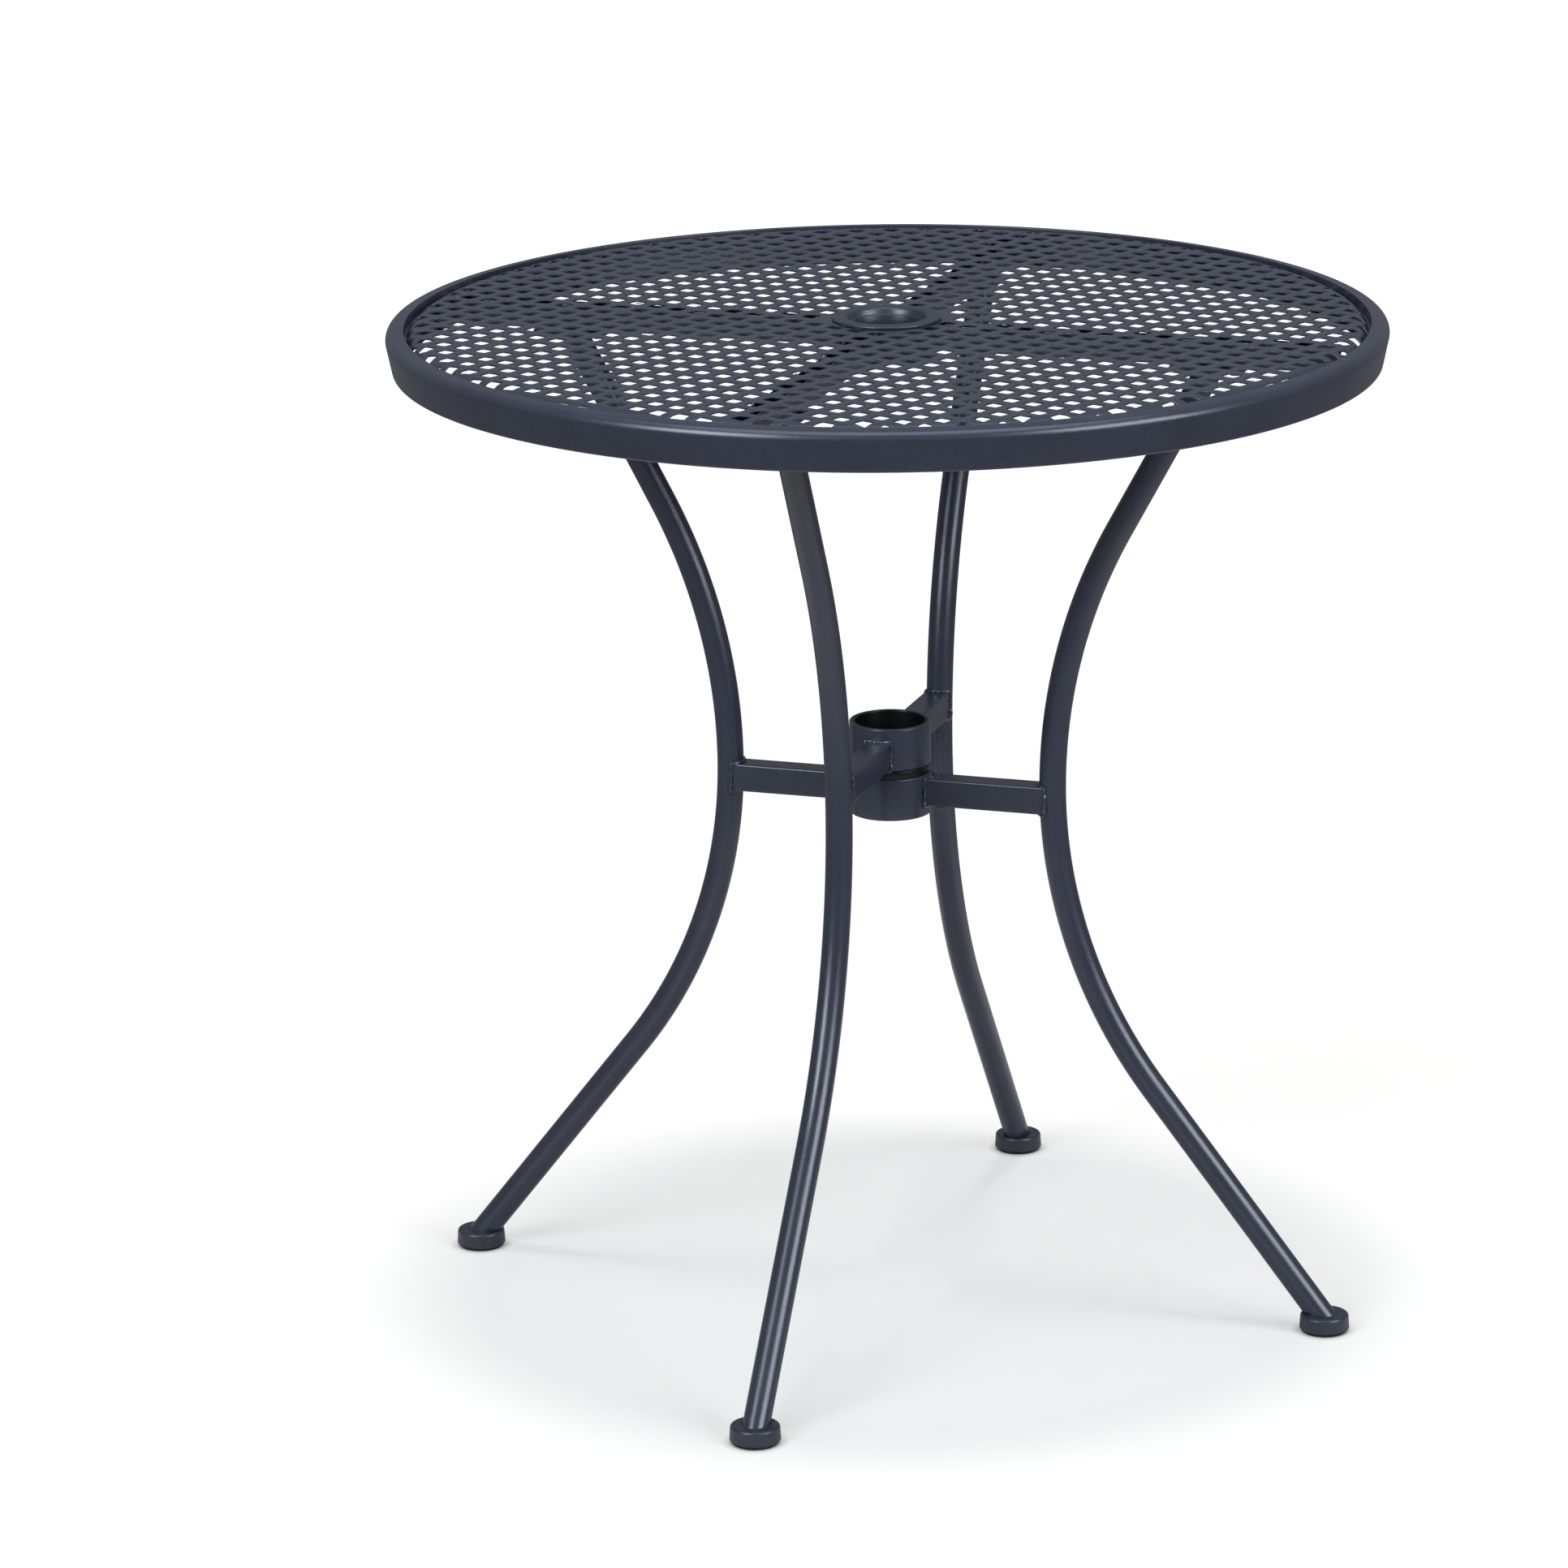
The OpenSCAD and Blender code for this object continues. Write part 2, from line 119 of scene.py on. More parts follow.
class TopSettings(bpy.types.PropertyGroup):
    """Sizes of the pierced sheet and the rim band"""
    hole_pitch: bpy.props.FloatProperty(
        name="Hole pitch", description="Distance between the square holes of a row",
        default=0.01836, min=0.012, max=0.03, unit="LENGTH")
    hole_width: bpy.props.FloatProperty(
        name="Hole width", description="Width of a square hole",
        default=0.0108, min=0.004, max=0.016, unit="LENGTH")
    hole_corner: bpy.props.FloatProperty(
        name="Hole corner", description="Corner radius of a square hole",
        default=0.0011, min=0.0003, max=0.003, unit="LENGTH")
    hole_turn: bpy.props.FloatProperty(
        name="Row angle", description="Angle of the rows against the right leg",
        default=radians(-21.2), subtype="ANGLE")
    shift: bpy.props.FloatVectorProperty(
        name="Pattern offset", description="Offset of the hole pattern from the centre",
        size=2, default=(0.0037, -0.0071), unit="LENGTH")
    curl: bpy.props.FloatProperty(
        name="Edge curl", description="Radius at which the sheet's edge turns down",
        default=0.012, min=0.008, max=0.016, unit="LENGTH")
    band: bpy.props.FloatProperty(
        name="Rim band", description="Width of the band round the sheet, seen from above",
        default=0.0127, min=0.01, max=0.016, unit="LENGTH")
    groove: bpy.props.FloatProperty(
        name="Groove", description="Gap between the turned-down edge and the band",
        default=0.0008, min=0.0004, max=0.002, unit="LENGTH")


class FinishSettings(bpy.types.PropertyGroup):
    """Colours of the coat and the plastics"""
    coat: bpy.props.FloatVectorProperty(
        name="Powder coat", description="Colour of the coated steel",
        subtype="COLOR", size=3, min=0, max=1, default=(0.0270, 0.0312, 0.0515))
    coat_roughness: bpy.props.FloatProperty(
        name="Coat roughness", description="Mean roughness of the powder coat",
        default=0.28, min=0.05, max=1, subtype="FACTOR")
    plastic: bpy.props.FloatVectorProperty(
        name="Grey plastic", description="Colour of the grommet and the foot caps",
        subtype="COLOR", size=3, min=0, max=1, default=(0.022, 0.026, 0.040))
    black: bpy.props.FloatVectorProperty(
        name="Black plastic", description="Colour of the sleeve and the levelling discs",
        subtype="COLOR", size=3, min=0, max=1, default=(0.004, 0.004, 0.0046))
    bolt: bpy.props.FloatVectorProperty(
        name="Bolt steel", description="Colour of the black bolts",
        subtype="COLOR", size=3, min=0, max=1, default=(0.02, 0.02, 0.022))


class StageSettings(bpy.types.PropertyGroup):
    """Camera, floor and lights"""
    distance: bpy.props.FloatProperty(
        name="Camera distance", description="Level distance from the table's axis",
        default=4.6115, unit="LENGTH")
    height: bpy.props.FloatProperty(
        name="Camera height", description="Height of the camera above the floor",
        default=1.6964, unit="LENGTH")
    azimuth: bpy.props.FloatProperty(
        name="Camera azimuth", description="Turn of the camera round the table",
        default=radians(17.43), subtype="ANGLE")
    pan: bpy.props.FloatProperty(
        name="Camera pan", description="Turn of the view away from the axis",
        default=radians(-0.942), subtype="ANGLE")
    tilt: bpy.props.FloatProperty(
        name="Camera tilt", description="Downward tilt of the view",
        default=radians(15.925), subtype="ANGLE")
    roll: bpy.props.FloatProperty(
        name="Camera roll", description="Roll of the view",
        default=radians(-0.721), subtype="ANGLE")
    lens: bpy.props.FloatProperty(
        name="Lens", description="Focal length on a 36 mm sensor, in millimetres",
        default=154.64, min=10)
    floor: bpy.props.FloatVectorProperty(
        name="Floor", description="Colour with which the floor lights the table from below",
        subtype="COLOR", size=3, min=0, max=1, default=(0.46, 0.46, 0.46))
    high: bpy.props.FloatProperty(
        name="Overhead lamp", description="Power of the wide lamp above the table",
        default=26.0, min=0)
    low: bpy.props.FloatProperty(
        name="Front lamps", description="Power of each of the two lamps in front of the table",
        default=83.0, min=0)
    sun: bpy.props.FloatProperty(
        name="Ceiling light", description="Strength of the even light straight from above",
        default=2.5, min=0)
    sky: bpy.props.FloatProperty(
        name="Room light", description="Strength of the even light of the room",
        default=0.16, min=0)
    mirror: bpy.props.FloatProperty(
        name="Mirrored background", description="How much of the white background reflections show",
        default=0.05, min=0, max=1, subtype="FACTOR")


# Mesh helpers, all in millimetres; a part is a pair of points and faces

def mm(length):
    """A length of the settings in millimetres."""
    return length * 1000


def add_piece(name, points, faces, material, slot, body="frame", stands_for=(), sharp=32.0):
    """Makes a visible piece from points in millimetres, hangs it on its body and hides the CAD
    nodes it stands for.
    """
    mesh = bpy.data.meshes.new(name)
    mesh.from_pydata([(p[0] * MM, p[1] * MM, p[2] * MM) for p in points], [], faces)
    bm = bmesh.new()
    bm.from_mesh(mesh)
    bmesh.ops.remove_doubles(bm, verts=bm.verts, dist=SAME_PLACE)
    bmesh.ops.dissolve_degenerate(bm, edges=bm.edges, dist=NO_LENGTH)
    bmesh.ops.recalc_face_normals(bm, faces=bm.faces)
    bm.to_mesh(mesh)
    bm.free()
    mesh.shade_smooth()
    mesh.set_sharp_from_angle(angle=radians(sharp))
    piece = bpy.data.objects.new(name, mesh)
    bpy.context.scene.collection.objects.link(piece)
    mesh.materials.append(material)
    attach(piece, body)
    if stands_for:
        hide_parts(*stands_for)
    return piece


def rounded(corners, steps=6):
    """Closed outline of (x, y, radius) corners with each corner rounded."""
    out = []
    n = len(corners)
    for i, (x, y, r) in enumerate(corners):
        p = Vector((x, y))
        if r <= 0:
            out.append((x, y))
            continue
        a = Vector(corners[i - 1][:2]) - p
        b = Vector(corners[(i + 1) % n][:2]) - p
        room = min(a.length, b.length)
        a.normalize()
        b.normalize()
        half = acos(max(-1, min(1, a.dot(b)))) / 2
        if half > pi / 2 - 1e-3:
            out.append((x, y))
            continue
        reach = min(r / tan(half), room * 0.499)
        r = reach * tan(half)
        centre = p + (a + b).normalized() * (r / sin(half))
        p0, p1 = p + a * reach - centre, p + b * reach - centre
        t0 = atan2(p0.y, p0.x)
        turn = (atan2(p1.y, p1.x) - t0 + pi) % (2 * pi) - pi
        k = max(2, ceil(steps * abs(turn) / (pi / 2)))
        out += [(centre.x + r * cos(t0 + turn * j / k), centre.y + r * sin(t0 + turn * j / k))
                for j in range(k + 1)]
    return out


def lathe(profile, segments):
    """A closed outline of (radius, height) turned round the table's axis."""
    n = len(profile)
    points = []
    for j in range(segments):
        a = 2 * pi * j / segments
        points += [(r * cos(a), r * sin(a), z) for r, z in profile]
    faces = [(j * n + i, j * n + (i + 1) % n,
              ((j + 1) % segments) * n + (i + 1) % n, ((j + 1) % segments) * n + i)
             for j in range(segments) for i in range(n)]
    return points, faces


def skin(rings, closed=False, caps=True):
    """Faces between rings of equally many points."""
    n = len(rings[0])
    points = [p for ring in rings for p in ring]
    m = len(rings)
    faces = []
    for k in range(m if closed else m - 1):
        a, b = k * n, ((k + 1) % m) * n
        faces += [(a + i, a + (i + 1) % n, b + (i + 1) % n, b + i) for i in range(n)]
    if caps and not closed:
        faces += [tuple(range(n))[::-1], tuple((m - 1) * n + i for i in range(n))]
    return points, faces


def merge(*parts):
    """Several parts as one."""
    points, faces = [], []
    for p, f in parts:
        k = len(points)
        points += list(p)
        faces += [tuple(i + k for i in face) for face in f]
    return points, faces


def turned(part, angle):
    """A part turned about the table's axis."""
    points, faces = part
    c, s = cos(angle), sin(angle)
    return [(x * c - y * s, x * s + y * c, z) for x, y, z in points], faces


def ripple(p, scale, seed):
    """Smooth unevenness between -1 and 1 at a point."""
    return noise.noise(Vector((p[0], p[1], p[2])) / scale + Vector((seed, seed * 0.7, 3.1)))


def bead(path, radius, seed, closed=False, sides=10):
    """A weld bead along a path: a lumpy thread with tapering ends."""
    path = [Vector(p) for p in path]
    n = len(path)
    rings = []
    length = 0.0
    for i, p in enumerate(path):
        before = path[i - 1] if i or closed else path[0]
        after = path[(i + 1) % n] if i < n - 1 or closed else path[-1]
        t = (after - before).normalized()
        length += (p - before).length if i else 0
        side = t.cross(Vector((0.3, 0.5, 0.81))).normalized()
        up = side.cross(t)
        r = radius * (0.90 + 0.7 * ripple(p, 3.0, seed) + 0.12 * sin(length * 2.4))
        if not closed:
            end = min(i, n - 1 - i) / 3
            r *= min(1.0, 0.35 + 0.65 * end)
        wander = Vector([ripple(p, 5, seed + k) for k in (5, 9, 13)])
        c = p + wander * radius * 0.35
        ring = []
        for k in range(sides):
            a = 2 * pi * k / sides
            grain = ripple(p + side * cos(a) * 3 + up * sin(a) * 3, 1.6, seed + 21)
            ring.append(c + (side * cos(a) + up * sin(a)) * r * (1 + 0.12 * grain))
        rings.append(ring)
    return skin(rings, closed=closed)


def lump(centre, sizes, seed):
    """A lump of weld: a small ball with an uneven skin."""
    rings = []
    for i in range(1, 8):
        t = pi * i / 8
        ring = []
        for j in range(12):
            a = 2 * pi * j / 12
            d = Vector((sin(t) * cos(a), sin(t) * sin(a), cos(t)))
            k = 1 + 0.45 * ripple(d * 2, 1.6, seed)
            ring.append(tuple(centre[n] + d[n] * sizes[n] * k for n in range(3)))
        rings.append(ring)
    return skin(rings)


# The leg line, in the plane of a leg: a straight foot, two bends and a straight top

def leg_point(z):
    """Centre and slope (dr/dz) of the leg line at a height."""
    z_low = WAIST_Z - LOW_BEND * sin(LOW_SWEEP)
    z_high = WAIST_Z + HIGH_BEND * sin(HIGH_SWEEP)
    if z < z_low:
        r = WAIST_R + LOW_BEND * (1 - cos(LOW_SWEEP)) + (z_low - z) * tan(LOW_SWEEP)
        return r, -tan(LOW_SWEEP)
    if z > z_high:
        r = WAIST_R + HIGH_BEND * (1 - cos(HIGH_SWEEP)) + (z - z_high) * tan(HIGH_SWEEP)
        return r, tan(HIGH_SWEEP)
    bend = LOW_BEND if z < WAIST_Z else HIGH_BEND
    rise = z - WAIST_Z
    root = sqrt(bend * bend - rise * rise)
    return WAIST_R + bend - root, rise / root


def leg_rings(radius, z0, z1, count, sides):
    """Rings round the leg line; the first and last are cut level."""
    rings = []
    for k in range(count + 1):
        z = z0 + (z1 - z0) * k / count
        r, slope = leg_point(z)
        tilt = sqrt(1 + slope * slope)
        ring = []
        for j in range(sides):
            a = 2 * pi * j / sides
            across, along = radius * cos(a), radius * sin(a)
            if k in (0, count):
                ring.append((r + across * tilt, along, z))
            else:
                ring.append((r + across / tilt, along, z - across * slope / tilt))
        rings.append(ring)
    return rings


# Materials

def nodes_of(owner):
    """The emptied node tree of a material or a world."""
    owner.use_nodes = True
    tree = owner.node_tree
    tree.nodes.clear()
    return tree


def add_node(tree, kind, operation=None, **sockets):
    """Adds a shader node and sets its sockets; a _ in a socket's name is a space."""
    node = tree.nodes.new("ShaderNode" + kind)
    if operation:
        node.operation = operation
    for name, value in sockets.items():
        node.inputs[name.replace("_", " ")].default_value = value
    return node


def add_ramp(tree, start, first, end, last):
    """Adds a colour ramp of two stops."""
    node = add_node(tree, "ValToRGB")
    for stop, position, colour in zip(node.color_ramp.elements, (start, end), (first, last)):
        stop.position = position
        stop.color = tuple(colour) + (1,)
    return node


def link(tree, a, b):
    """Leads an output socket to an input socket."""
    tree.links.new(a, b)


def coat_material(name, colour, roughness, grain, bump, shine=0.7):
    """Powder coat or moulded plastic: fine orange peel, faint mottling and patchy gloss."""
    material = bpy.data.materials.new(name)
    tree = nodes_of(material)
    out = add_node(tree, "OutputMaterial")
    shader = add_node(tree, "BsdfPrincipled", IOR=1.5, Specular_IOR_Level=shine)
    place = add_node(tree, "TexCoord")
    fine = add_node(tree, "TexNoise", Scale=grain, Detail=2.0, Roughness=0.6)
    broad = add_node(tree, "TexNoise", Scale=22.0, Detail=3.0)
    for pattern in (fine, broad):
        link(tree, place.outputs["Object"], pattern.inputs["Vector"])

    mottle = add_ramp(tree, 0.3, [c * 0.90 for c in colour], 0.72, [c * 1.10 for c in colour])
    flake = add_ramp(tree, 0.35, (0.70, 0.70, 0.70), 0.70, (1.34, 1.34, 1.34))
    speck = add_node(tree, "Mix", Factor=0.5)
    speck.data_type = "RGBA"
    speck.blend_type = "MULTIPLY"
    link(tree, broad.outputs["Fac"], mottle.inputs["Fac"])
    link(tree, fine.outputs["Fac"], flake.inputs["Fac"])
    # 6, 7 and 2 are the colour sockets of a mix node
    link(tree, mottle.outputs["Color"], speck.inputs[6])
    link(tree, flake.outputs["Color"], speck.inputs[7])
    link(tree, speck.outputs[2], shader.inputs["Base Color"])

    gloss = add_node(tree, "MapRange", To_Min=roughness - 0.05, To_Max=roughness + 0.05)
    link(tree, broad.outputs["Fac"], gloss.inputs["Value"])
    link(tree, gloss.outputs["Result"], shader.inputs["Roughness"])
    relief = add_node(tree, "Bump", Strength=bump, Distance=0.0003)
    link(tree, fine.outputs["Fac"], relief.inputs["Height"])
    link(tree, relief.outputs["Normal"], shader.inputs["Normal"])
    link(tree, shader.outputs["BSDF"], out.inputs["Surface"])
    return material


def finish(name):
    """A finish by its name; the first call makes them all."""
    made = bpy.data.materials
    if "anthracite_coat" not in made:
        f = bpy.context.scene.table_finish
        # painted shade: the coat darkened to 0.15 and made matte, for the faces inside the rail
        # channels that should look in shadow
        painted_shade_colour = [c * 0.15 for c in f.coat]
        coat_material("anthracite_coat", f.coat, f.coat_roughness, grain=900.0, bump=0.25)
        coat_material("grey_plastic", f.plastic, 0.33, grain=900.0, bump=0.55)
        coat_material("sleeve_black", f.black, 0.28, grain=1500.0, bump=0.06, shine=0.4)
        coat_material("bolt_black", f.bolt, 0.34, grain=1800.0, bump=0.08)
        coat_material("weld_coat", f.coat, 0.19, grain=450.0, bump=0.9, shine=0.9)
        coat_material("painted_shade_coat", painted_shade_colour, 0.60, grain=900.0, bump=0.25, shine=0.05)
    return made[name]


def dress(node, material):
    """Gives a carried-over CAD node its material."""
    piece = frame["nodes"][node]
    piece.data.materials.clear()
    piece.data.materials.append(material)


# The pierced sheet: square cells of 16 edge points, each with a hole of 16-point rings

SQUARE = ((1, -1), (1, 1), (-1, 1), (-1, -1))  # corners of a cell, in order
ROUND = len(SQUARE) * 4                        # points round a cell or a hole


class Net:
    """Points and faces that share the points which lie in one place."""

    def __init__(self):
        self.points, self.faces, self.index = [], [], {}

    def point(self, p):
        key = tuple(round(v, GRID) for v in p)
        if key not in self.index:
            self.index[key] = len(self.points)
            self.points.append(p)
        return self.index[key]

    def face(self, *corners, flip=False):
        ids = tuple(self.point(p) for p in corners)
        if len(set(ids)) == len(ids):
            self.faces.append(ids[::-1] if flip else ids)

    def strip(self, inner, outer):
        """Faces between two rings."""
        for k in range(ROUND):
            n = (k + 1) % ROUND
            self.face(inner[k], inner[n], outer[n], outer[k])


def cell_edge(pitch):
    """Outline of a cell: four points to a side."""
    edge = []
    for k in range(4):
        a, b = SQUARE[k], SQUARE[(k + 1) % 4]
        edge += [((a[0] * (1 - t) + b[0] * t) * pitch / 2,
                  (a[1] * (1 - t) + b[1] * t) * pitch / 2)
                 for t in (0, 0.27, 0.5, 0.73)]
    return edge


def hole_ring(w, r):
    """Outline of a hole of half width w and corner radius r, one point to each of the cell's."""
    ring = []
    for k, (sx, sy) in enumerate(SQUARE):
        start = atan2(sy, sx) - pi / 4
        mx, my = sx * (w - r), sy * (w - r)
        ring += [(mx + r * cos(start + t), my + r * sin(start + t)) for t in (0, pi / 4, pi / 2)]
        nx, ny = SQUARE[(k + 1) % 4]
        ring.append(((sx + nx) / 2 * w, (sy + ny) / 2 * w))
    return ring[1:] + ring[:1]


def flat_sheet(s, lip_r):
    """The flat pierced sheet with whole cells out to past its lip, plain in the middle."""
    pitch, half, corner = mm(s.hole_pitch), mm(s.hole_width) / 2, mm(s.hole_corner)
    x0, y0 = mm(s.shift[0]), mm(s.shift[1])
    c, sn = cos(s.hole_turn), sin(s.hole_turn)
    z_top, z_low = SHEET_HIGH.z, SHEET_LOW.z
    # half width and height of the rings of a hole's wall, widened at both mouths
    levels = [(half + 0.30, z_low), (half, z_low + 0.3), (half, z_top - 0.35),
              (half + 0.12, z_top - 0.10), (half + 0.40, z_top)]
    holes = [(hole_ring(w, corner + (w - half)), z) for w, z in levels]
    edge = cell_edge(pitch)
    plain_r = GROMMET_HIGH.x - PLAIN_MIDDLE
    rows = ceil(RIM_HIGH.x / pitch) + 1
    net = Net()
    for i in range(-rows, rows + 1):
        for j in range(-rows, rows + 1):
            cx = x0 + pitch * (i * c - j * sn)
            cy = y0 + pitch * (i * sn + j * c)
            far = sqrt(cx * cx + cy * cy)
            if far > lip_r + pitch * CELL_REACH:
                continue

            def world(px, py, z):
                return cx + px * c - py * sn, cy + px * sn + py * c, z

            if far - half * HOLE_REACH < plain_r:
                for z in (z_top, z_low):
                    ring = [world(px, py, z) for px, py in edge]
                    for k in range(ROUND):
                        net.face(ring[k], ring[(k + 1) % ROUND], world(0, 0, z),
                                 flip=z == z_low)
                continue
            rings = [[world(px, py, z) for px, py in ring] for ring, z in holes]
            for low, high in zip(rings, rings[1:]):
                net.strip(low, high)
            for ring, z in ((rings[-1], z_top), (rings[0], z_low)):
                net.strip(ring, [world(px, py, z) for px, py in edge])
    return net.points, net.faces


def from_axis(v):
    """A vertex's distance from the axis."""
    return sqrt(v.co.x ** 2 + v.co.y ** 2)


def spread(v, k):
    """Scales a vertex's distance from the axis."""
    v.co.x *= k
    v.co.y *= k


def trim(bm, flat_r, lip_r):
    """Cuts the sheet to a circle and a bore, and divides the part that will be bent."""
    gone = [f for f in bm.faces if all(from_axis(v) > lip_r for v in f.verts)]
    bmesh.ops.delete(bm, geom=gone, context="FACES")
    band = [e for e in bm.edges if min(from_axis(v) for v in e.verts) > flat_r - BEND_MARGIN
            or max(from_axis(v) for v in e.verts) > flat_r]
    bmesh.ops.subdivide_edges(bm, edges=band, cuts=3, use_grid_fill=True)
    for v in bm.verts:
        r = from_axis(v)
        if r > lip_r:
            spread(v, lip_r / r)
        elif r < SHEET_BORE:
            spread(v, SHEET_BORE / max(r, 0.001))
    gone = [f for f in bm.faces if all(from_axis(v) > lip_r - NEAR for v in f.verts)
            or all(from_axis(v) < SHEET_BORE + NEAR for v in f.verts)]
    bmesh.ops.delete(bm, geom=gone, context="FACES")


def close_edges(bm):
    """Joins the sheet's upper and lower face along their open edges."""
    def place(v):
        return round(v.co.x, GRID), round(v.co.y, GRID)

    lower = {place(v): v for v in bm.verts if v.co.z < SHEET_LOW.z + NEAR}
    for e in [e for e in bm.edges if len(e.link_faces) == 1]:
        a, b = e.verts
        below = [lower.get(place(v)) for v in (a, b)]
        if min(a.co.z, b.co.z) > SHEET_HIGH.z - NEAR and all(below):
            bm.faces.new((a, b, below[1], below[0]))


def bend_down(bm, flat_r, curl, bent):
    """Turns the sheet's edge down at a radius, through an angle."""
    z_top = SHEET_HIGH.z
    for v in bm.verts:
        r = from_axis(v)
        if r > flat_r:
            a = min((r - flat_r) / curl, bent)
            k = curl + (v.co.z - z_top)
            v.co.z = z_top - curl + k * cos(a)
            spread(v, (flat_r + k * sin(a)) / r)


class TABLE_OT_sheet(bpy.types.Operator):
    """Pierced sheet of the top, with its edge turned down at the rim"""
    bl_idname = "table.sheet"
    bl_label = "Pierced sheet"

    def execute(self, context):
        s = context.scene.table_top
        curl = mm(s.curl)
        flat_r = RIM_HIGH.x - mm(s.band + s.groove) - curl
        bent = acos(1 - GROOVE_DEPTH / curl)
        lip_r = flat_r + curl * bent
        points, faces = flat_sheet(s, lip_r)
        mesh = bpy.data.meshes.new("raw")
        mesh.from_pydata(points, [], faces)
        bm = bmesh.new()
        bm.from_mesh(mesh)
        trim(bm, flat_r, lip_r)
        close_edges(bm)
        bend_down(bm, flat_r, curl, bent)
        bm.to_mesh(mesh)
        bm.free()
        part = [tuple(v.co) for v in mesh.vertices], [tuple(p.vertices) for p in mesh.polygons]
        bpy.data.meshes.remove(mesh)
        add_piece("pierced_sheet", *part, finish("anthracite_coat"), "steel_coat",
                  stands_for=("mesh_panel",), sharp=50)
        return {"FINISHED"}


# Other pieces of the top

class TABLE_OT_rim(bpy.types.Operator):
    """Rim band with its soft shoulder, the groove inside it and the hem"""
    bl_idname = "table.rim"
    bl_label = "Rim band"

    def execute(self, context):
        s = context.scene.table_top
        r, top, low = round(RIM_HIGH.x, 0), SHEET_HIGH.z, RIM_LOW.z
        lip = r - mm(s.band)
        floor = top - GROOVE_DEPTH - GROOVE_FLOOR
        ledge = lip - LEDGE
        outline = rounded([
            # groove, band and shoulder
            (ledge, floor, 0), (lip, floor, 0.3), (lip, top, 0.45), (r + 1.29, top - 1.47, 6.5),
            # foot of the skirt and hem
            (r - 4.36, low, 2.0), (r - HEM, low, 0.6), (r - HEM, low + WALL, 0.6),
            (r - 5.9, low + WALL, 0.6),
            # inner side
            (r - 0.51, top - 2.79, 5.0), (lip + WALL, top - 1.7, 0.4),
            (lip + WALL, floor - 1.2, 0.6), (ledge, floor - 1.2, 0.3)], steps=10)
        add_piece("rim_band", *lathe(outline, 360), finish("anthracite_coat"), "steel_coat",
                  stands_for=("rim",), sharp=40)
        return {"FINISHED"}


class TABLE_OT_rails(bpy.types.Operator):
    """Rails under the sheet with painted shade inside their channels, the hub ring, and the spot
    welds over them
    """
    bl_idname = "table.rails"
    bl_label = "Rails and hub"

    def execute(self, context):
        half = RAIL_HIGH.y
        z0, z1 = RAIL_LOW.z, RAIL_HIGH.z
        notch = RIM_HIGH.x - RAIL_NOTCH
        notch_z = SHEET_HIGH.z - GROOVE_DEPTH - RAIL_STEP

        def channel(top):
            return rounded([
                (-half, z0, 1.6), (half, z0, 1.6), (half, top, 0.4), (half - WALL, top, 0.4),
                (half - WALL, z0 + WALL, 1), (WALL - half, z0 + WALL, 1),
                (WALL - half, top, 0.4), (-half, top, 0.4)], 5)

        def length_of(section, x0, x1):
            return skin([[(x, y, z) for y, z in section] for x in (x0, x1)])

        rail = merge(length_of(channel(z1), RAIL_LOW.x, notch),
                     length_of(channel(notch_z), notch - 0.5, RAIL_HIGH.x))
        for side, angle in SIDES.items():
            piece = add_piece("rail_tube_" + side, *turned(rail, angle),
                              finish("anthracite_coat"), "steel_coat",
                              stands_for=("rail_" + side,))
            # the channels' inner faces get the painted-shade coat, so the holes above the rails
            # look dark
            piece.data.materials.append(finish("painted_shade_coat"))
            across = Vector((-sin(angle), cos(angle), 0))
            for face in piece.data.polygons:
                inside = abs(face.center.dot(across)) < (half - RAIL_INSIDE) * MM
                if inside and face.center.z > (z0 + RAIL_INSIDE) * MM:
                    face.material_index = 1
        dress("hub_ring", finish("anthracite_coat"))

        parts = []
        for side, angle in SIDES.items():
            for k, x in enumerate(RAIL_WELDS):
                for y in (-half + 0.9, half - 0.9):
                    seed = angle * 3 + k * 1.7 + y
                    path = [(x + t, y + 0.5 * sin(t + seed), z1 + 1.1)
                            for t in (-3, -1.5, 0, 1.5, 3)]
                    parts.append(turned(bead(path, radius=0.6, seed=seed), angle))
            seam = [(RAIL_LOW.x + 0.5, -half + i / 12 * 2 * half, z0 + 0.4) for i in range(13)]
            parts.append(turned(bead(seam, radius=1.4, seed=angle + 31), angle))
        add_piece("rail_welds", *merge(*parts), finish("weld_coat"), "steel_coat", sharp=60)
        return {"FINISHED"}


class TABLE_OT_grommet(bpy.types.Operator):
    """Parasol grommet and its ring nut"""
    bl_idname = "table.grommet"
    bl_label = "Grommet"

    def execute(self, context):
        r, top, low = GROMMET_HIGH.x, GROMMET_HIGH.z, GROMMET_LOW.z
        under = top - 2.2
        sheet = SHEET_HIGH.z
        outline = rounded([
            # tube and the seat on the sheet
            (25, low, 0.3), (29, low, 0.3), (29, sheet, 0.2), (33.4, sheet, 0.3),
            # flange
            (33.4, under, 0.8), (r - 0.2, under, 0.5), (r, top - 0.3, 1.7), (r - 4.0, top, 1.5),
            # funnel and step of the mouth
            (28.2, top - 0.1, 2.6), (26.6, top - 4.6, 0.2), (25.5, top - 5.1, 0.2),
            (25, top - 9, 0.3)], steps=8)
        add_piece("grommet_moulding", *lathe(outline, 160), finish("grey_plastic"),
                  "anthracite_plastic", stands_for=("grommet",), sharp=40)
        dress("grommet_nut", finish("grey_plastic"))
        return {"FINISHED"}


# Pieces of the legs

